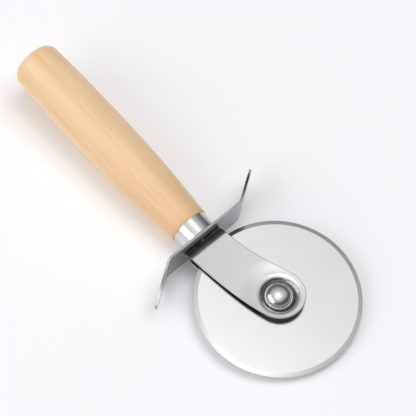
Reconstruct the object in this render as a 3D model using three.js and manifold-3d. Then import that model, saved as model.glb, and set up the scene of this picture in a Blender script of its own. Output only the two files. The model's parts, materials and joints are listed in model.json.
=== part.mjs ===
// A hand-held pastry and pizza cutter: a polished steel wheel that turns on a domed rivet in a
// U-bent steel fork, a Z-bent finger guard, a pressed ferrule and a turned wooden handle.
//
// Millimetres. Every piece is first made in the tool's own frame: its origin is the middle of the
// wheel, +X points forwards from the handle to the wheel's front edge, and +Z runs along the
// wheel's spin axis. The finished tool is then laid down on the plane z = 0, on the lower edge of
// its guard and the cap of its rivet, with its origin below the middle of its box.
import * as THREE from "three";
import { mergeVertices } from "three/addons/utils/BufferGeometryUtils.js";
import Module from "manifold-3d";

const wasm = await Module();
wasm.setup();

// ---- Driving dimensions -------------------------------------------------------------------

const OVERALL_LENGTH = 175;
const CLEARANCE = 0.1; // left between pieces that are pressed or riveted together
const RUNNING_GAP = 0.25; // left on each side of the wheel

const WHEEL_DIAMETER = 67;
const WHEEL_THICKNESS = 1.2;
const BEVEL_WIDTH = 1.8;
const EDGE_THICKNESS = 0.2;

const SHEET = 1; // gauge of the fork and the guard
const ARM_HEIGHT = 3.95; // at the rivet, from the wheel's middle plane to the outside of an arm
const BEND_DEPTH = 3.9; // from the back of the bend to where the arms turn straight
const BEND_HALF_HEIGHT = 2.4; // there
const BEND_NOSE_RADIUS = 1.4; // outside of the round back of the bend
const FORK_WIDTH = 18.3; // across the bend
const FORK_MIDDLE_Y = -6.6;
const ARM_ROOT_ANGLE = 5.5; // degrees that the arm's sides are turned where they leave the bend
const ARM_ROOT_PULL = 10.5; // how far the sides keep that direction
const ARM_END_ANGLE = 20; // degrees that the sides are turned where they meet the round end
const ARM_END_PULL = 12;
const ARM_END_RADIUS = 10.4;
const ARM_END_Y = 0.4; // middle of the round end, beside the rivet
const DIMPLE_RADIUS = 9.4; // dish pressed into each arm round the rivet
const DIMPLE_FLOOR_RADIUS = 5.8;
const DISH_EASE = 2.4; // how much steeper than a cone the dish leaves its floor

const HANDLE_AXIS_Y = -6.2; // the handle runs beside the wheel's centre, not through it
const GUARD_FRONT_X = -37.5;
const GUARD_HEIGHT = 17.6;
const GUARD_MIDDLE_Y = -5.5;
const GUARD_FLAT_HALF = 19; // from its middle to each bend
const GUARD_WING = 17.9; // from each bend to the tip
const GUARD_WING_ANGLE = 33.5; // degrees
const GUARD_BEND_RADIUS = 6.7;
const GUARD_SHOULDER = 5.6; // beyond each bend, where the taper to the tip begins to pull in
const GUARD_TIP_FULLNESS = 0.36; // share of the half height that keeps the tips blunt

const FERRULE_LENGTH = 7.2;
const FERRULE_REAR_RADIUS = 7.95;
const FERRULE_FRONT_RADIUS = 7.5;
const FERRULE_WALL = 0.6;
const FERRULE_CORNER = 0.7;

const BUTT_RADIUS = 10.1; // across the end of the handle, before it is rounded over
const BUTT_ROUNDING = 4.2;
const BELLY_RADIUS = 10.7; // thickest stretch
const NECK_RADIUS = 8.35; // where the wood meets the ferrule
const HANDLE_TAPER = [ // share of the handle's length, and share of the way from belly to neck
  [0.26, 0],
  [0.56, 0.04],
  [0.76, 0.3],
];

const RIVET_SHANK_RADIUS = 2.6;
const RIVET_HEAD_RADIUS = 5.1;
const RIVET_HEAD_SKIRT = 0.6;
const RIVET_DOME_HEIGHT = 2.7;
const RIVET_CAP_HEIGHT = 2.8;
const RIVET_CAP_RIM = 0.4; // straight edge above the cap's round corner
const RIVET_CAP_FLAT_RADIUS = 2.6;
const WASHER_RADIUS = 5.6;
const WASHER_THICKNESS = 0.45;

const PIN_RADIUS = 0.8;
const PIN_HEAD_RADIUS = 1;
const PIN_HEAD_HEIGHT = 0.5;
const PIN_DEPTH = 38; // in the wood
const BORE_END_GAP = 1; // left in front of the pin's point

const WHEEL_SIDES = 108;
const ROUND_SIDES = 48;
const SMALL_SIDES = 24;
const ARC_STEPS = 6;
const DISH_STEPS = 10;

// ---- Sizes worked out from them -----------------------------------------------------------

const WHEEL_RADIUS = WHEEL_DIAMETER / 2;
const BUTT_X = WHEEL_RADIUS - OVERALL_LENGTH;
const GUARD_BACK_X = GUARD_FRONT_X - SHEET;
const FERRULE_FRONT_X = GUARD_BACK_X - CLEARANCE;
const FERRULE_REAR_X = FERRULE_FRONT_X - FERRULE_LENGTH;
const NECK_X = FERRULE_REAR_X - CLEARANCE;
const FORK_BASE_X = GUARD_FRONT_X + CLEARANCE;
const BEND_X = FORK_BASE_X + BEND_DEPTH;
const ARM_SLOPE = (ARM_HEIGHT - BEND_HALF_HEIGHT) / -BEND_X; // the arms open out forwards
const NOSE_X = FORK_BASE_X + BEND_NOSE_RADIUS;
const BEND_ANGLE = // of the flats between the nose and the arms
  Math.acos(BEND_NOSE_RADIUS / Math.hypot(BEND_HALF_HEIGHT, BEND_X - NOSE_X)) -
  Math.atan2(BEND_X - NOSE_X, BEND_HALF_HEIGHT);
const DIMPLE_FLOOR_Z = WHEEL_THICKNESS / 2 + RUNNING_GAP + SHEET; // its outer face
const WASHER_Z = DIMPLE_FLOOR_Z + CLEARANCE;
const HEAD_Z = WASHER_Z + WASHER_THICKNESS + CLEARANCE;
const PIN_HOLE_RADIUS = PIN_RADIUS + CLEARANCE;
const RIVET_HOLE_RADIUS = RIVET_SHANK_RADIUS + CLEARANCE;

const radians = THREE.MathUtils.degToRad;

// ---- Solids --------------------------------------------------------------------------------

// A closed three.js geometry as a manifold-3d solid.
function solid(geometry) {
  const bare = geometry.clone();
  bare.deleteAttribute("normal");
  bare.deleteAttribute("uv");
  const merged = mergeVertices(bare, 1e-4);
  const mesh = new wasm.Mesh({
    numProp: 3,
    vertProperties: merged.attributes.position.array,
    triVerts: new Uint32Array(merged.index.array),
  });
  return new wasm.Manifold(mesh);
}

// A manifold-3d solid as a flat-shaded three.js geometry.
function geometryOf(manifold) {
  const mesh = manifold.getMesh();
  const indexed = new THREE.BufferGeometry();
  indexed.setAttribute("position", new THREE.BufferAttribute(mesh.vertProperties, 3));
  indexed.setIndex(new THREE.BufferAttribute(mesh.triVerts, 1));
  const flat = indexed.toNonIndexed();
  flat.computeVertexNormals();
  return flat;
}

// A body turned about the Z axis from [radius, z] points, listed from its lowest point upwards
// along the outside.
function turnedAboutZ(points, sides) {
  const profile = points.map(([radius, z]) => new THREE.Vector2(radius, z));
  return new THREE.LatheGeometry(profile, sides).rotateX(Math.PI / 2);
}

// A body turned about the handle's axis from [radius, x] points, listed from the butt forwards
// along the outside.
function turnedAboutHandle(points, sides) {
  const profile = points.map(([radius, x]) => new THREE.Vector2(radius, x));
  const turned = new THREE.LatheGeometry(profile, sides).rotateZ(-Math.PI / 2);
  return turned.translate(0, HANDLE_AXIS_Y, 0);
}

function extruded(shape, depth) {
  return new THREE.ExtrudeGeometry(shape, {
    depth,
    bevelEnabled: false,
    curveSegments: ARC_STEPS * 2,
  });
}

// The points of an arc in the [radius, height] plane of a turned body, angles in degrees.
function arc(centre, middle, radiusAcross, radiusAlong, from, to) {
  return Array.from({ length: ARC_STEPS + 1 }, (_, step) => {
    const angle = radians(from + ((to - from) * step) / ARC_STEPS);
    return [centre + radiusAcross * Math.cos(angle), middle + radiusAlong * Math.sin(angle)];
  });
}

// ---- Materials -----------------------------------------------------------------------------

function metal(color, roughness) {
  return new THREE.MeshStandardMaterial({ color, roughness, metalness: 1 });
}

function wood() {
  return new THREE.MeshStandardMaterial({ color: 0xf2cf95, roughness: 0.45, metalness: 0 });
}

// ---- Wheel ---------------------------------------------------------------------------------

// A flat disc with a bore, ground to a thin edge by the same bevel on both sides.
function wheel() {
  const half = WHEEL_THICKNESS / 2;
  const flatRadius = WHEEL_RADIUS - BEVEL_WIDTH;
  const profile = [
    [RIVET_HOLE_RADIUS, -half],
    [flatRadius, -half],
    [WHEEL_RADIUS, -EDGE_THICKNESS / 2],
    [WHEEL_RADIUS, EDGE_THICKNESS / 2],
    [flatRadius, half],
    [RIVET_HOLE_RADIUS, half],
    [RIVET_HOLE_RADIUS, -half],
  ];
  return new THREE.Mesh(turnedAboutZ(profile, WHEEL_SIDES), metal(0xe4e1df, 0.08));
}

// ---- Fork ----------------------------------------------------------------------------------

// The sheet seen from the side: two flat arms that open forwards from a wedge-shaped bend, with
// a round nose between two short flats.
function forkSideOutline() {
  const front = ARM_END_RADIUS + SHEET; // a little past the arms, which the plan outline ends
  const outer = ARM_HEIGHT + ARM_SLOPE * front;
  const inner = outer - SHEET;
  const heightInside = BEND_HALF_HEIGHT - SHEET;
  const reach = Math.PI / 2 + BEND_ANGLE;
  const outline = new THREE.Shape();
  outline.moveTo(front, -outer);
  outline.lineTo(front, -inner);
  outline.lineTo(BEND_X, -heightInside);
  outline.absarc(NOSE_X, 0, BEND_NOSE_RADIUS - SHEET, -reach, reach, true);
  outline.lineTo(BEND_X, heightInside);
  outline.lineTo(front, inner);
  outline.lineTo(front, outer);
  outline.lineTo(BEND_X, BEND_HALF_HEIGHT);
  outline.absarc(NOSE_X, 0, BEND_NOSE_RADIUS, reach, -reach, false);
  outline.lineTo(BEND_X, -BEND_HALF_HEIGHT);
  outline.closePath();
  return outline;
}

// The arm seen along the spin axis: straight-sided at the bend, then swung over to the rivet,
// where a round end closes it.
function forkPlanOutline() {
  const nearStart = new THREE.Vector2(BEND_X, FORK_MIDDLE_Y - FORK_WIDTH / 2);
  const farStart = new THREE.Vector2(BEND_X, FORK_MIDDLE_Y + FORK_WIDTH / 2);
  const behind = FORK_BASE_X - SHEET;
  const root = radians(ARM_ROOT_ANGLE);
  const turn = radians(ARM_END_ANGLE);
  const alongRoot = new THREE.Vector2(Math.cos(root), Math.sin(root));
  const alongEnd = new THREE.Vector2(Math.cos(turn), Math.sin(turn));
  const acrossEnd = new THREE.Vector2(-Math.sin(turn), Math.cos(turn));
  const centre = new THREE.Vector2(0, ARM_END_Y);
  const farEnd = centre.clone().addScaledVector(acrossEnd, ARM_END_RADIUS);
  const nearEnd = centre.clone().addScaledVector(acrossEnd, -ARM_END_RADIUS);
  const side = (start, end) => {
    const leave = start.clone().addScaledVector(alongRoot, ARM_ROOT_PULL);
    const arrive = end.clone().addScaledVector(alongEnd, -ARM_END_PULL);
    return new THREE.CubicBezierCurve(start, leave, arrive, end).getPoints(ARC_STEPS * 2);
  };
  const tip = new THREE.EllipseCurve(
    0,
    ARM_END_Y,
    ARM_END_RADIUS,
    ARM_END_RADIUS,
    turn - Math.PI / 2,
    turn + Math.PI / 2,
  );
  return new THREE.Shape([
    new THREE.Vector2(behind, nearStart.y),
    ...side(nearStart, nearEnd),
    ...tip.getPoints(ARC_STEPS * 4).slice(1, -1),
    ...side(farStart, farEnd).reverse(),
    new THREE.Vector2(behind, farStart.y),
  ]);
}

// How far the dish has risen at a radius: 0 on its floor, 1 at its edge. It is steepest where it
// leaves the floor and runs out level into the arm.
function rise(radius) {
  const reach = DIMPLE_RADIUS - DIMPLE_FLOOR_RADIUS;
  const part = THREE.MathUtils.clamp((radius - DIMPLE_FLOOR_RADIUS) / reach, 0, 1);
  return 1 - (1 - part) ** DISH_EASE;
}

// The dish round the rivet, upper arm: sheet of even gauge that eases down from the arm's
// sloping face to a level floor just clear of the wheel.
function dimple() {
  const depth = ARM_HEIGHT - DIMPLE_FLOOR_Z;
  const reach = DIMPLE_RADIUS - DIMPLE_FLOOR_RADIUS;
  const outerFace = [];
  const innerFace = [];
  for (let step = 0; step <= DISH_STEPS; step += 1) {
    const radius = DIMPLE_FLOOR_RADIUS + (reach * step) / DISH_STEPS;
    const z = DIMPLE_FLOOR_Z + depth * rise(radius);
    outerFace.push([radius, z]);
    innerFace.push([radius + SHEET / 2, z - SHEET]);
  }
  const floor = [RIVET_HOLE_RADIUS, DIMPLE_FLOOR_Z];
  const floorInside = [RIVET_HOLE_RADIUS, DIMPLE_FLOOR_Z - SHEET];
  const profile = [floorInside, ...innerFace, ...outerFace.reverse(), floor, floorInside];
  const dish = turnedAboutZ(profile, ROUND_SIDES);
  const position = dish.getAttribute("position");
  for (let index = 0; index < position.count; index += 1) {
    const x = position.getX(index);
    const radius = Math.hypot(x, position.getY(index));
    position.setZ(index, position.getZ(index) + ARM_SLOPE * x * rise(radius));
  }
  return dish;
}

// A round cutter along the handle's axis, through the sheets at x.
function pinHole(x) {
  const length = BEND_DEPTH * 2;
  const hole = new THREE.CylinderGeometry(PIN_HOLE_RADIUS, PIN_HOLE_RADIUS, length, SMALL_SIDES);
  return hole.rotateZ(Math.PI / 2).translate(x, HANDLE_AXIS_Y, 0);
}

function fork() {
  const reach = FORK_WIDTH * 3;
  const sideView = extruded(forkSideOutline(), reach);
  sideView.rotateX(Math.PI / 2).translate(0, FORK_MIDDLE_Y + reach / 2, 0);
  const tall = ARM_HEIGHT * 4;
  const planView = extruded(forkPlanOutline(), tall).translate(0, 0, -tall / 2);
  const opening = new THREE.CylinderGeometry(DIMPLE_RADIUS, DIMPLE_RADIUS, tall, ROUND_SIDES);
  opening.rotateX(Math.PI / 2);
  const upperDimple = dimple();
  const lowerDimple = upperDimple.clone().rotateX(Math.PI);
  const sheet = solid(sideView)
    .intersect(solid(planView))
    .subtract(solid(opening))
    .subtract(solid(pinHole(FORK_BASE_X)))
    .add(solid(upperDimple))
    .add(solid(lowerDimple));
  return new THREE.Mesh(geometryOf(sheet), metal(0xdcd9d6, 0.12));
}

// ---- Rivet and its washers ------------------------------------------------------------------

// Shank through both arms and the wheel, with a domed head on top of the upper washer. Its tail
// ends inside the cap that closes it below.
function axleRivet() {
  const skirtTop = HEAD_Z + RIVET_HEAD_SKIRT;
  const dome = arc(0, skirtTop, RIVET_HEAD_RADIUS, RIVET_DOME_HEIGHT, 0, 90);
  dome[dome.length - 1][0] = 0;
  const tail = -HEAD_Z - RIVET_CAP_HEIGHT / 2;
  const profile = [
    [0, tail],
    [RIVET_SHANK_RADIUS, tail],
    [RIVET_SHANK_RADIUS, HEAD_Z],
    [RIVET_HEAD_RADIUS, HEAD_Z],
    ...dome,
  ];
  return new THREE.Mesh(turnedAboutZ(profile, ROUND_SIDES), metal(0xd9d9da, 0.1));
}

// Low round cap pressed on the rivet's tail, flat at its middle, with a blind socket.
function rivetCap() {
  const top = -HEAD_Z;
  const bottom = top - RIVET_CAP_HEIGHT;
  const socketEnd = top - RIVET_CAP_HEIGHT / 2 - CLEARANCE;
  const rim = RIVET_HEAD_RADIUS - RIVET_CAP_FLAT_RADIUS;
  const rimZ = top - RIVET_CAP_RIM;
  const side = arc(RIVET_CAP_FLAT_RADIUS, rimZ, rim, RIVET_CAP_HEIGHT - RIVET_CAP_RIM, -90, 0);
  const profile = [
    [0, bottom],
    ...side,
    [RIVET_HEAD_RADIUS, top],
    [RIVET_HOLE_RADIUS, top],
    [RIVET_HOLE_RADIUS, socketEnd],
    [0, socketEnd],
  ];
  return new THREE.Mesh(turnedAboutZ(profile, ROUND_SIDES), metal(0xcfcfd0, 0.15));
}

// Flat washer between an arm's dish and a head: upper (side 1) or lower (side -1).
function washer(side) {
  const profile = [
    [RIVET_HOLE_RADIUS, WASHER_Z],
    [WASHER_RADIUS, WASHER_Z],
    [WASHER_RADIUS, WASHER_Z + WASHER_THICKNESS],
    [RIVET_HOLE_RADIUS, WASHER_Z + WASHER_THICKNESS],
    [RIVET_HOLE_RADIUS, WASHER_Z],
  ];
  const ring = turnedAboutZ(profile, ROUND_SIDES);
  if (side < 0) ring.rotateX(Math.PI);
  return new THREE.Mesh(ring, metal(0xe6e6e6, 0.12));
}

// ---- Finger guard ---------------------------------------------------------------------------

// Middle line of the strip from its middle to one tip, in its own plan axes: across the tool,
// and away from the flat towards the side that the wing is bent to.
function guardHalfLine() {
  const angle = radians(GUARD_WING_ANGLE);
  const tangent = GUARD_BEND_RADIUS * Math.tan(angle / 2);
  const start = GUARD_FLAT_HALF - tangent;
  const line = [];
  for (let step = 0; step <= ARC_STEPS; step += 1) {
    const turned = (angle * step) / ARC_STEPS;
    const across = start + GUARD_BEND_RADIUS * Math.sin(turned);
    const away = GUARD_BEND_RADIUS * (1 - Math.cos(turned));
    line.push({ across, away, turned });
  }
  line.push({
    across: GUARD_FLAT_HALF + GUARD_WING * Math.cos(angle),
    away: GUARD_WING * Math.sin(angle),
    turned: angle,
  });
  return line;
}

// The strip seen along the spin axis, about its own middle: one wing is bent back beside the
// handle and the other forwards beside the wheel, as a half-turn of the first.
function guardPlanOutline() {
  const edge = (side) =>
    guardHalfLine().map(({ across, away, turned }) => {
      const x = -away - side * Math.cos(turned) * (SHEET / 2);
      const y = across - side * Math.sin(turned) * (SHEET / 2);
      return new THREE.Vector2(x, y);
    });
  const back = edge(1);
  const front = edge(-1);
  const halfTurn = (points) => points.map((point) => point.clone().negate());
  const rearWing = [...front, ...back.reverse()];
  return new THREE.Shape([...rearWing, ...halfTurn(rearWing)]);
}

// The strip seen from the front, about its own middle: level edges between the bends, and wings
// that taper to round tips.
function guardFrontOutline() {
  const half = GUARD_HEIGHT / 2;
  const bend = GUARD_FLAT_HALF;
  const tip = GUARD_FLAT_HALF + GUARD_WING * Math.cos(radians(GUARD_WING_ANGLE)) + SHEET;
  const shoulder = bend + GUARD_SHOULDER;
  const tipPull = half * GUARD_TIP_FULLNESS;
  const outline = new THREE.Shape();
  outline.moveTo(-bend, -half);
  outline.lineTo(bend, -half);
  outline.bezierCurveTo(shoulder, -half, tip, -tipPull, tip, 0);
  outline.bezierCurveTo(tip, tipPull, shoulder, half, bend, half);
  outline.lineTo(-bend, half);
  outline.bezierCurveTo(-shoulder, half, -tip, tipPull, -tip, 0);
  outline.bezierCurveTo(-tip, -tipPull, -shoulder, -half, -bend, -half);
  return outline;
}

function guard() {
  const middleX = GUARD_FRONT_X - SHEET / 2;
  const tall = GUARD_HEIGHT * 2;
  const planView = extruded(guardPlanOutline(), tall);
  planView.translate(middleX, GUARD_MIDDLE_Y, -tall / 2);
  const reach = GUARD_WING * 2;
  const frontView = extruded(guardFrontOutline(), reach * 2);
  frontView.rotateX(Math.PI / 2).rotateZ(Math.PI / 2);
  frontView.translate(middleX - reach, GUARD_MIDDLE_Y, 0);
  const strip = solid(planView).intersect(solid(frontView)).subtract(solid(pinHole(middleX)));
  return new THREE.Mesh(geometryOf(strip), metal(0xc4c4ca, 0.15));
}

// ---- Ferrule, handle and pin ----------------------------------------------------------------

// Pressed cup with its closed end against the guard, drilled for the pin.
function ferrule() {
  const endInside = FERRULE_FRONT_X - FERRULE_WALL;
  const frontInside = FERRULE_FRONT_RADIUS - FERRULE_WALL;
  const rearInside = FERRULE_REAR_RADIUS - FERRULE_WALL;
  const rimRadius = FERRULE_FRONT_RADIUS - FERRULE_CORNER;
  const rimX = FERRULE_FRONT_X - FERRULE_CORNER;
  const rim = arc(rimRadius, rimX, FERRULE_CORNER, FERRULE_CORNER, 0, 90);
  const profile = [
    [rearInside, FERRULE_REAR_X],
    [FERRULE_REAR_RADIUS, FERRULE_REAR_X],
    ...rim,
    [PIN_HOLE_RADIUS, FERRULE_FRONT_X],
    [PIN_HOLE_RADIUS, endInside],
    [frontInside, endInside],
    [rearInside, FERRULE_REAR_X],
  ];
  return new THREE.Mesh(turnedAboutHandle(profile, ROUND_SIDES), metal(0xc9cccb, 0.25));
}

// The handle's outside from the flat of its butt to its neck, as [radius, x] points: a quarter
// round, a long even belly, and a taper over the front third.
function handleOutside() {
  const roundRadius = BUTT_RADIUS - BUTT_ROUNDING;
  const roundX = BUTT_X + BUTT_ROUNDING;
  const rounding = arc(roundRadius, roundX, BUTT_ROUNDING, BUTT_ROUNDING, -90, 0);
  const length = NECK_X - BUTT_X;
  const taper = BELLY_RADIUS - NECK_RADIUS;
  const along = new THREE.SplineCurve([
    new THREE.Vector2(BUTT_RADIUS, roundX),
    ...HANDLE_TAPER.map(
      ([part, drawnIn]) => new THREE.Vector2(BELLY_RADIUS - taper * drawnIn, BUTT_X + length * part),
    ),
    new THREE.Vector2(NECK_RADIUS, NECK_X),
  ]);
  const side = along.getPoints(ARC_STEPS * 3).slice(1);
  return [...rounding, ...side.map((point) => [point.x, point.y])];
}

// Turned wood: the grip, a spigot that fills the ferrule, and a blind bore for the pin.
function handle() {
  const shoulder = FERRULE_REAR_RADIUS - FERRULE_WALL - CLEARANCE;
  const spigotFront = FERRULE_FRONT_RADIUS - FERRULE_WALL - CLEARANCE;
  const spigotEnd = FERRULE_FRONT_X - FERRULE_WALL - CLEARANCE;
  const boreEnd = NECK_X - PIN_DEPTH - BORE_END_GAP;
  const profile = [
    [0, BUTT_X],
    ...handleOutside(),
    [shoulder, NECK_X],
    [spigotFront, spigotEnd],
    [PIN_HOLE_RADIUS, spigotEnd],
    [PIN_HOLE_RADIUS, boreEnd],
    [0, boreEnd],
  ];
  return new THREE.Mesh(turnedAboutHandle(profile, ROUND_SIDES), wood());
}

// Headed pin, driven from inside the fork through its bend, the guard and the ferrule into the
// wood. Its head is wedged between the flats of the bend.
function handlePin() {
  const spare = BEND_HALF_HEIGHT - SHEET - PIN_HEAD_RADIUS - CLEARANCE;
  const seat = BEND_X - spare / Math.tan(BEND_ANGLE);
  const tip = NECK_X - PIN_DEPTH;
  const dome = arc(0, seat, PIN_HEAD_RADIUS, PIN_HEAD_HEIGHT, 0, 90);
  dome[dome.length - 1][0] = 0;
  const profile = [
    [0, tip],
    [PIN_RADIUS, tip + PIN_RADIUS * 2],
    [PIN_RADIUS, seat],
    ...dome,
  ];
  return new THREE.Mesh(turnedAboutHandle(profile, SMALL_SIDES), metal(0xa9a9ab, 0.3));
}

// ---- Assembly ---------------------------------------------------------------------------------

// The angle that lays the tool down: the line under its side view that touches the rivet's cap
// and the guard's lower edge, or the handle where that reaches lower.
function lyingAngle() {
  const capX = RIVET_CAP_FLAT_RADIUS;
  const capReach = HEAD_Z + RIVET_CAP_HEIGHT;
  const slopeTo = ([reach, x]) => (reach - capReach) / (capX - x);
  const touching = [...handleOutside(), [GUARD_HEIGHT / 2, GUARD_BACK_X]];
  return Math.atan(Math.max(...touching.map(slopeTo)));
}

function named(name, mesh) {
  mesh.name = name;
  return mesh;
}

const tool = new THREE.Group();
tool.add(
  named("wheel", wheel()),
  named("fork", fork()),
  named("axle_rivet", axleRivet()),
  named("rivet_cap", rivetCap()),
  named("upper_washer", washer(1)),
  named("lower_washer", washer(-1)),
  named("guard", guard()),
  named("ferrule", ferrule()),
  named("handle", handle()),
  named("handle_pin", handlePin()),
);
tool.rotation.y = lyingAngle();

const cutter = new THREE.Group();
cutter.add(tool);
cutter.updateMatrixWorld(true);
const box = new THREE.Box3().setFromObject(tool, true);
tool.position.set(-(box.min.x + box.max.x) / 2, -(box.min.y + box.max.y) / 2, -box.min.z);

export default cutter;
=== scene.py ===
"""Pastry cutter wheel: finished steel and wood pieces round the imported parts, on a pale table."""

import json
import math

import bmesh
import bpy
from mathutils import Matrix, Vector


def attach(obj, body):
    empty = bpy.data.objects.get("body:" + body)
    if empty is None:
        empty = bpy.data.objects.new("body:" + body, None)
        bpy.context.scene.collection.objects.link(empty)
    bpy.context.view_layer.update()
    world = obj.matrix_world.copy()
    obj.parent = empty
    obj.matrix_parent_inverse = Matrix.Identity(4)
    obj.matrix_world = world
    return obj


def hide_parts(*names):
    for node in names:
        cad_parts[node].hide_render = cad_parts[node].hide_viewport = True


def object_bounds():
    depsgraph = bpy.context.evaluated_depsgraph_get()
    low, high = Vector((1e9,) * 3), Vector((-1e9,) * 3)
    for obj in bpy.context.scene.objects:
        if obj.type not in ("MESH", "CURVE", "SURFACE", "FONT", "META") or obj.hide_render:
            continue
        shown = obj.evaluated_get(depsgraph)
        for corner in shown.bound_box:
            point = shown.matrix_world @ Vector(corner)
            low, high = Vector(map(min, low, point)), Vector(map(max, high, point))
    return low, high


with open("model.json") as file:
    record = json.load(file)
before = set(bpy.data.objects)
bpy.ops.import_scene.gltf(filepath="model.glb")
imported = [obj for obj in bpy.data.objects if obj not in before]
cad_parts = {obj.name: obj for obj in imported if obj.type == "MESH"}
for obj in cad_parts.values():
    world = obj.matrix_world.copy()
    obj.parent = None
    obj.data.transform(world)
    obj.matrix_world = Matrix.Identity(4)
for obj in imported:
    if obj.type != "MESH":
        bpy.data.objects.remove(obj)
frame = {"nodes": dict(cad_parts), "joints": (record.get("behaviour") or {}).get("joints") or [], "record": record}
cad_low, cad_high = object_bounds()

MM = 0.001

# ---- The tool's own frame: origin at the wheel's middle, Z along its spin axis -------------

spin = frame["joints"][0]
CENTRE = Vector(spin["pos_m"])
AXIS_Z = Vector(spin["axis"]).normalized()
AXIS_Y = Vector((0, 1, 0))
AXIS_X = AXIS_Y.cross(AXIS_Z)
TOOL = Matrix((AXIS_X, AXIS_Y, AXIS_Z)).transposed().to_4x4()
TOOL.translation = CENTRE
TO_TOOL = TOOL.inverted()

BODY_OF = {
    node: body
    for body, members in frame["record"]["behaviour"]["bodies"].items()
    for node in members
}

# The fork's materials, by material index: its polished arms, then darker colours painted on the sides facing the
# wheel, the bend, the rounded edges and the steep foot of each dish as painted shade. FORK_EDGE is the one its
# rounded edges get.
FORK_POLISHED, FORK_INSIDE, FORK_BEND, FORK_EDGE, FORK_DISH = range(5)
BEND_FRONT_X = -30 * MM
DISH_FOOT = (5.6 * MM, 7.6 * MM)  # the radii of the steep part of a dish


# ---- Pieces ----------------------------------------------------------------------------------


SAME_POINT = 0.002 * MM
FLAT_ENOUGH = 0.008  # radians


def refined(
    node, edge_mm=0.0, crease_deg=35, flatten=True, segments=2, sides=None, edge_slot=None
):
    """A smooth-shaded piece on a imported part's shape, with its sharp edges rounded over.

    sides: which material index a face has, called with each face in the tool's frame.
    edge_slot: the material index of the rounded edges, where it isn't their neighbours'.
    """
    mesh = frame["nodes"][node].data.copy()
    mesh.name = node + "_finish"
    mesh.materials.clear()
    mesh.transform(TO_TOOL)
    build = bmesh.new()
    build.from_mesh(mesh)
    bmesh.ops.remove_doubles(build, verts=build.verts, dist=SAME_POINT)
    if flatten:
        bmesh.ops.dissolve_limit(
            build,
            angle_limit=FLAT_ENOUGH,
            use_dissolve_boundaries=False,
            verts=build.verts,
            edges=build.edges,
        )
    build.normal_update()
    for face in build.faces:
        face.smooth = True
        if sides is not None:
            face.material_index = sides(face)
    build.to_mesh(mesh)
    build.free()
    mesh.transform(TOOL)
    while mesh.uv_layers:
        mesh.uv_layers.remove(mesh.uv_layers[0])
    piece = bpy.data.objects.new(node + "_finish", mesh)
    bpy.context.scene.collection.objects.link(piece)
    if edge_mm:
        rounding = piece.modifiers.new("rounded_edges", "BEVEL")
        rounding.width = edge_mm * MM
        rounding.segments = segments
        rounding.limit_method = "ANGLE"
        rounding.angle_limit = math.radians(crease_deg)
        rounding.use_clamp_overlap = edge_slot is None
        rounding.harden_normals = False
        rounding.material = -1 if edge_slot is None else edge_slot
    even = piece.modifiers.new("even_shading", "WEIGHTED_NORMAL")
    even.mode = "FACE_AREA"
    even.weight = 50
    even.keep_sharp = True
    bpy.context.view_layer.objects.active = piece
    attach(piece, BODY_OF[node])
    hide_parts(node)
    return piece


def fork_side(face):
    """Which material a side of the fork has: the polished arms, or one of the darker colours painted on as painted
    shade.
    """
    middle = face.calc_center_median()
    if abs(face.normal.z) > 0.2 and face.normal.z * middle.z < 0:
        return FORK_INSIDE
    if face.normal.x < -0.2 and middle.x < BEND_FRONT_X:
        return FORK_BEND
    low, high = DISH_FOOT
    steep = all(low < corner.co.xy.length < high for corner in face.verts)
    return FORK_DISH if steep else FORK_POLISHED


# ---- Material building blocks -----------------------------------------------------------------


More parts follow.
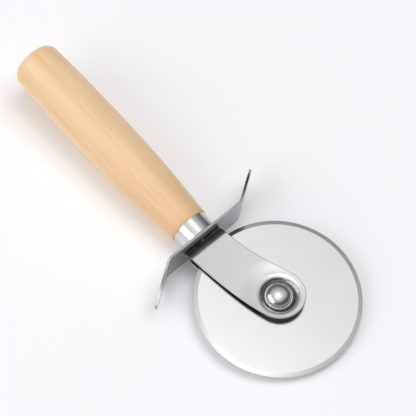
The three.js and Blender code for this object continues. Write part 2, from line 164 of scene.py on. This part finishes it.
class Recipe:
    """A principled material and short calls that add the nodes which drive it."""

    def __init__(self, name, **fixed):
        self.material = bpy.data.materials.new(name)
        self.material.use_nodes = True
        self.tree = self.material.node_tree
        self.shader = self.tree.nodes["Principled BSDF"]
        for socket, value in fixed.items():
            self.shader.inputs[socket.replace("_", " ")].default_value = value
        here = self.add("ShaderNodeTexCoord").outputs["Object"]
        tool = self.add("ShaderNodeMapping")
        tool.inputs["Rotation"].default_value = TO_TOOL.to_euler()
        tool.inputs["Location"].default_value = TO_TOOL.translation
        self.link(here, tool.inputs["Vector"])
        self.place = tool.outputs["Vector"]

    def add(self, kind, **settings):
        node = self.tree.nodes.new(kind)
        for key, value in settings.items():
            setattr(node, key, value)
        return node

    def link(self, source, target):
        self.tree.links.new(source, target)

    def stretched(self, x, y, z):
        """Coordinates in the tool's frame, with this many units to a metre along each axis."""
        node = self.add("ShaderNodeMapping")
        node.inputs["Scale"].default_value = (x, y, z)
        self.link(self.place, node.inputs["Vector"])
        return node.outputs["Vector"]

    def noise(self, vector, detail=4.0, roughness=0.55, distortion=0.0):
        node = self.add("ShaderNodeTexNoise")
        node.inputs["Scale"].default_value = 1.0
        node.inputs["Detail"].default_value = detail
        node.inputs["Roughness"].default_value = roughness
        node.inputs["Distortion"].default_value = distortion
        self.link(vector, node.inputs["Vector"])
        return node.outputs["Fac"]

    def ranged(self, value, low, high, to_low=0.0, to_high=1.0):
        """A value eased from one range to another and held at its ends."""
        node = self.add("ShaderNodeMapRange", interpolation_type="SMOOTHSTEP")
        node.inputs["From Min"].default_value = low
        node.inputs["From Max"].default_value = high
        node.inputs["To Min"].default_value = to_low
        node.inputs["To Max"].default_value = to_high
        self.link(value, node.inputs["Value"])
        return node.outputs["Result"]

    def math(self, operation, a, b=None):
        node = self.add("ShaderNodeMath", operation=operation)
        for socket, value in zip(node.inputs, (a, b)):
            if isinstance(value, (int, float)):
                socket.default_value = value
            elif value is not None:
                self.link(value, socket)
        return node.outputs["Value"]

    def blend(self, share, a, b):
        """Colour a where the share is 0 and b where it is 1."""
        node = self.add("ShaderNodeMix", data_type="RGBA")
        self.link(share, node.inputs["Factor"])
        for socket, value in ((node.inputs[6], a), (node.inputs[7], b)):
            if isinstance(value, tuple):
                socket.default_value = (*value, 1)
            else:
                self.link(value, socket)
        return node.outputs[2]

    def radius(self):
        """Distance from the wheel's spin axis, in metres."""
        parts = self.add("ShaderNodeSeparateXYZ")
        self.link(self.place, parts.inputs["Vector"])
        x, y = parts.outputs["X"], parts.outputs["Y"]
        squares = self.math("ADD", self.math("MULTIPLY", x, x), self.math("MULTIPLY", y, y))
        return self.math("SQRT", squares)

    def bump(self, height, depth_mm, strength=1.0, under=None):
        """A normal that a height from 0 to 1 tilts, on top of another one where that is given."""
        node = self.add("ShaderNodeBump")
        node.inputs["Strength"].default_value = strength
        node.inputs["Distance"].default_value = depth_mm * MM
        self.link(height, node.inputs["Height"])
        if under is not None:
            self.link(under, node.inputs["Normal"])
        return node.outputs["Normal"]

    def finish(self, color, roughness, normal):
        self.link(color, self.shader.inputs["Base Color"])
        self.link(roughness, self.shader.inputs["Roughness"])
        self.link(normal, self.shader.inputs["Normal"])
        return self.material


# ---- Materials ----------------------------------------------------------------------------------


def wood():
    m = Recipe(
        "pale_hardwood",
        Metallic=0.0,
        Coat_Weight=0.22,
        Coat_Roughness=0.28,
        Specular_IOR_Level=0.35,
    )
    bands = m.noise(m.stretched(9, 150, 150), 3, 0.5, 0.6)
    streaks = m.noise(m.stretched(38, 900, 900), 5, 0.6, 0.3)
    grain = m.noise(m.stretched(160, 3600, 3600), 3, 0.6)
    flecks = m.noise(m.stretched(420, 2600, 2600), 1, 0.5)
    cloud = m.noise(m.stretched(22, 60, 60), 2, 0.5)
    warm = (0.90, 0.585, 0.30)
    pale = (0.95, 0.70, 0.42)
    tone = m.blend(m.ranged(bands, 0.28, 0.74), warm, pale)
    tone = m.blend(m.ranged(cloud, 0.45, 0.75, 0, 0.35), tone, (0.96, 0.76, 0.47))
    tone = m.blend(m.ranged(streaks, 0.50, 0.74, 0, 0.26), tone, (0.74, 0.44, 0.175))
    tone = m.blend(m.ranged(grain, 0.54, 0.76, 0, 0.20), tone, (0.66, 0.37, 0.14))
    tone = m.blend(m.ranged(flecks, 0.66, 0.76, 0, 0.28), tone, (0.60, 0.34, 0.14))
    roughness = m.ranged(streaks, 0.3, 0.75, 0.36, 0.52)
    under = m.bump(grain, 0.05, 0.35)
    return m.finish(tone, roughness, m.bump(flecks, 0.04, 0.25, under))


def steel(name, light, dark, rough, spread, marks_per_m, marks_mm, turned=False, drawn=None):
    """Polished steel: fine marks of the polishing, faint stains and rubbed patches.

    rough, spread: the roughness of the smoothest patch, and how much more the dullest has.
    marks_per_m: how finely the marks run along X, Y and Z, or outwards on a turned piece.
    drawn: the radii between which a pressed dish has pulled the sheet down, and how far in mm.
    """
    m = Recipe(name, Metallic=1.0)
    if turned:
        outwards = m.math("MULTIPLY", m.radius(), marks_per_m)
        line = m.add("ShaderNodeCombineXYZ")
        m.link(outwards, line.inputs["X"])
        marks = m.noise(line.outputs["Vector"], 3, 0.6)
    else:
        marks = m.noise(m.stretched(*marks_per_m), 4, 0.65)
    patches = m.noise(m.stretched(120, 120, 120), 3, 0.55, 0.4)
    specks = m.noise(m.stretched(2600, 2600, 2600), 2, 0.5)
    tone = m.blend(m.ranged(patches, 0.3, 0.72), dark, light)
    tone = m.blend(m.ranged(specks, 0.66, 0.78, 0, 0.18), tone, tuple(v * 0.6 for v in dark))
    tone = m.blend(m.ranged(marks, 0.5, 0.8, 0, 0.20), tone, tuple(v * 0.82 for v in dark))
    haze = m.ranged(m.math("ADD", patches, m.math("MULTIPLY", marks, 0.6)), 0.5, 1.1)
    roughness = m.ranged(haze, 0, 1, rough, rough + spread)
    pull = m.bump(m.ranged(m.radius(), drawn[0], drawn[1]), drawn[2]) if drawn else None
    return m.finish(tone, roughness, m.bump(marks, marks_mm, 0.5, pull))


def drawn_steel():
    m = Recipe("drawn_steel", Metallic=1.0)
    marks = m.noise(m.stretched(90, 2600, 2600), 4, 0.6)
    tone = m.blend(m.ranged(marks, 0.3, 0.7), (0.30, 0.30, 0.31), (0.46, 0.46, 0.47))
    return m.finish(tone, m.ranged(marks, 0.2, 0.8, 0.28, 0.45), m.bump(marks, 0.02, 0.4))


def table():
    m = Recipe(
        "pale_table",
        Metallic=0.0,
        Specular_IOR_Level=0.2,
        Emission_Color=(0.98, 0.98, 1.0, 1.0),
        Emission_Strength=0.10,
    )
    mottle = m.noise(m.stretched(14, 14, 14), 3, 0.5)
    weave = m.noise(m.stretched(900, 900, 900), 2, 0.5)
    tone = m.blend(mottle, (0.905, 0.905, 0.935), (0.92, 0.92, 0.945))
    return m.finish(tone, m.ranged(weave, 0.2, 0.8, 0.62, 0.72), m.bump(weave, 0.02, 0.1))


# ---- The object ----------------------------------------------------------------------------------

ALONG_ARMS = (260, 3200, 900)
ACROSS_BEND = (900, 260, 900)
ACROSS_GUARD = (900, 240, 3200)
ROUND_FERRULE = (2600, 200, 200)
EVEN = (900, 900, 900)


def dress(piece, *finishes):
    """Give a piece its materials, in the order of their material indices."""
    for finish in finishes:
        piece.data.materials.append(finish)


wheel = refined("wheel", 0.05, crease_deg=12)
wheel_polish = steel(
    "wheel_polish",
    (0.85, 0.835, 0.825),
    (0.84, 0.825, 0.815),
    0.18,
    0.02,
    5200,
    0.0004,
    turned=True,
)
dress(wheel, wheel_polish)

fork = refined("fork", 0.26, segments=3, sides=fork_side, edge_slot=FORK_EDGE)
fork_polish = steel(
    "fork_polish",
    (0.785, 0.77, 0.755),
    (0.765, 0.75, 0.735),
    0.19,
    0.03,
    ALONG_ARMS,
    0.0006,
    drawn=(8.5 * MM, 16.5 * MM, 0.32),
)
# Painted shade: the sides of the fork that face the wheel are coloured near black for the shade between arm and
# wheel, which the wheel also mirrors as a dark band; their higher roughness is a duller finish.
fork_inside_painted_shade = steel(
    "fork_inside_painted_shade", (0.16, 0.16, 0.16), (0.11, 0.11, 0.11), 0.32, 0.12, ALONG_ARMS, 0.001
)
# Painted shade: the bend is coloured dark for the dark strip between the guard and the flat of the arms.
fork_bend_painted_shade = steel(
    "fork_bend_painted_shade", (0.42, 0.405, 0.395), (0.32, 0.31, 0.30), 0.22, 0.10, ACROSS_BEND, 0.002
)
# Painted shade: the rounded edges are coloured darker than the arms for the thin dark line along them.
fork_edge_painted_shade = steel("fork_edge_painted_shade", (0.52, 0.51, 0.50), (0.44, 0.43, 0.42), 0.24, 0.08, EVEN, 0.001)
# Painted shade: the steep foot of each dish is coloured dark for the dark ring round the rivet.
fork_dish_painted_shade = steel(
    "fork_dish_painted_shade", (0.38, 0.375, 0.37), (0.30, 0.295, 0.29), 0.22, 0.06, ALONG_ARMS, 0.001
)
dress(fork, fork_polish, fork_inside_painted_shade, fork_bend_painted_shade, fork_edge_painted_shade, fork_dish_painted_shade)

guard = refined("guard", 0.16)
# Painted shade: the guard's polished steel is coloured much darker than the fork's, for the shade it mirrors.
guard_polish_painted_shade = steel(
    "guard_polish_painted_shade", (0.43, 0.43, 0.445), (0.38, 0.38, 0.395), 0.17, 0.10, ACROSS_GUARD, 0.001
)
dress(guard, guard_polish_painted_shade)

rivet = refined("axle_rivet", 0.12)
rivet_polish = steel(
    "rivet_polish", (0.80, 0.80, 0.80), (0.72, 0.72, 0.73), 0.21, 0.06, 5200, 0.0008, turned=True
)
dress(rivet, rivet_polish)
dress(refined("rivet_cap", 0.12), rivet_polish)

washer_polish = steel(
    "washer_polish", (0.76, 0.76, 0.76), (0.68, 0.68, 0.68), 0.12, 0.08, 6200, 0.0008, turned=True
)
for node in ("upper_washer", "lower_washer"):
    dress(refined(node, 0.12), washer_polish)

ferrule = refined("ferrule", 0.15)
ferrule_plate = steel(
    "ferrule_plate", (0.74, 0.75, 0.75), (0.66, 0.67, 0.67), 0.27, 0.08, ROUND_FERRULE, 0.001
)
dress(ferrule, ferrule_plate)

handle = refined("handle", flatten=False)
dress(handle, wood())

pin = frame["nodes"]["handle_pin"]
pin.data.materials.clear()
dress(pin, drawn_steel())

# ---- Table, light and camera ------------------------------------------------------------------

TABLE_SIZE = 6


def plane(name, size, height):
    half = size / 2
    outline = ((-half, -half), (half, -half), (half, half), (-half, half))
    mesh = bpy.data.meshes.new(name)
    mesh.from_pydata([(x, y, height) for x, y in outline], [], [(0, 1, 2, 3)])
    made = bpy.data.objects.new(name, mesh)
    bpy.context.scene.collection.objects.link(made)
    return made


floor = plane("table_top", TABLE_SIZE, cad_low[2])
dress(floor, table())


def panel(name, offset, width, height, watts):
    """A lamp with a rectangular face, turned to the middle of the wheel from an offset to it."""
    light = bpy.data.lights.new(name, "AREA")
    light.shape = "RECTANGLE"
    light.size = width
    light.size_y = height
    light.energy = watts
    made = bpy.data.objects.new(name, light)
    made.location = CENTRE + offset
    made.rotation_euler = (-offset).to_track_quat("-Z", "Y").to_euler()
    bpy.context.scene.collection.objects.link(made)
    return made


# How bright the tent is by height, where 0 is its horizon and 1 is overhead.
HORIZON_LEVEL = 0.10
OVERHEAD_LEVEL = 1.5
LEVELS = (
    (0.25, 0.07),
    (0.45, 0.15),
    (0.56, 0.29),
    (0.68, 0.44),
    (0.80, 0.60),
    (0.90, 0.70),
    (0.94, 0.84),
    (0.96, 1.12),
)
FRONT_STARTS = 0.3  # how far towards +X the tent begins to dim
FRONT_DIMMING = -0.7  # what that adds to the height that sets the level


def studio():
    """A white tent that is brightest overhead, dim at the horizon and darker on its front side."""
    world = bpy.data.worlds.new("tent")
    bpy.context.scene.world = world
    world.use_nodes = True
    tree = world.node_tree
    background = tree.nodes["Background"]
    background.inputs["Strength"].default_value = 1.0
    place = tree.nodes.new("ShaderNodeTexCoord")
    parts = tree.nodes.new("ShaderNodeSeparateXYZ")
    front = tree.nodes.new("ShaderNodeMath")
    front.operation = "SUBTRACT"
    front.use_clamp = True
    front.inputs[1].default_value = FRONT_STARTS
    height = tree.nodes.new("ShaderNodeMath")
    height.operation = "MULTIPLY_ADD"
    height.inputs[1].default_value = FRONT_DIMMING
    ramp = tree.nodes.new("ShaderNodeValToRGB")
    tree.links.new(place.outputs["Generated"], parts.inputs["Vector"])
    tree.links.new(parts.outputs["X"], front.inputs[0])
    tree.links.new(front.outputs["Value"], height.inputs[0])
    tree.links.new(parts.outputs["Z"], height.inputs[2])
    tree.links.new(height.outputs["Value"], ramp.inputs["Fac"])
    tree.links.new(ramp.outputs["Color"], background.inputs["Color"])
    stops = ramp.color_ramp.elements
    stops[0].position = 0.0
    stops[0].color = (HORIZON_LEVEL, HORIZON_LEVEL, HORIZON_LEVEL + 0.005, 1)
    stops[1].position = 1.0
    stops[1].color = (OVERHEAD_LEVEL, OVERHEAD_LEVEL, OVERHEAD_LEVEL + 0.005, 1)
    for position, level in LEVELS:
        stop = stops.new(position)
        stop.color = (level, level, level * 1.005, 1)


studio()
key = panel("key", Vector((0.0, 0.40, 1.15)), 0.9, 0.7, 4.6)
key.visible_glossy = False
panel("side", Vector((-0.36, -0.92, 0.56)), 1.3, 0.8, 6.0)

# The camera in the tool's frame.
CAMERA_PLACE = Vector((0.309517, -0.457581, 1.262224))
CAMERA_RIGHT = Vector((0.66588157, 0.74135759, 0.08361011))
CAMERA_UP = Vector((-0.70068145, 0.58295454, 0.41135084))
CAMERA_BACK = CAMERA_RIGHT.cross(CAMERA_UP)

lens = bpy.data.cameras.new("camera")
lens.lens = 302.9
lens.sensor_width = 36
lens.clip_start = 0.05
lens.clip_end = 20
camera = bpy.data.objects.new("camera", lens)
bpy.context.scene.collection.objects.link(camera)
turn = Matrix((CAMERA_RIGHT, CAMERA_UP, CAMERA_BACK)).transposed().to_4x4()
turn.translation = CAMERA_PLACE
camera.matrix_world = TOOL @ turn
bpy.context.scene.camera = camera

# The direction that the flat of the wheel mirrors into the camera.
mirrored = TOOL.to_3x3() @ Vector((-CAMERA_BACK.x, -CAMERA_BACK.y, CAMERA_BACK.z))
mirrored.normalize()
OVERHEAD_DISTANCE = 1.3
OVERHEAD_ASIDE = Vector((0, -0.35, 0))
SPOT_DISTANCE = 1.25
SPOT_LIFT = Vector((0, 0, 0.9))

# A wide dim panel that the wheel's lower half mirrors towards the camera.
panel("overhead", mirrored * OVERHEAD_DISTANCE + OVERHEAD_ASIDE, 0.7, 0.7, 0.18)

# A small bright one, higher up, that shines in the middle of the rivet's dome.
panel("spot", (mirrored + SPOT_LIFT).normalized() * SPOT_DISTANCE, 0.10, 0.10, 0.17)
bpy.context.scene.view_settings.view_transform = "Standard"
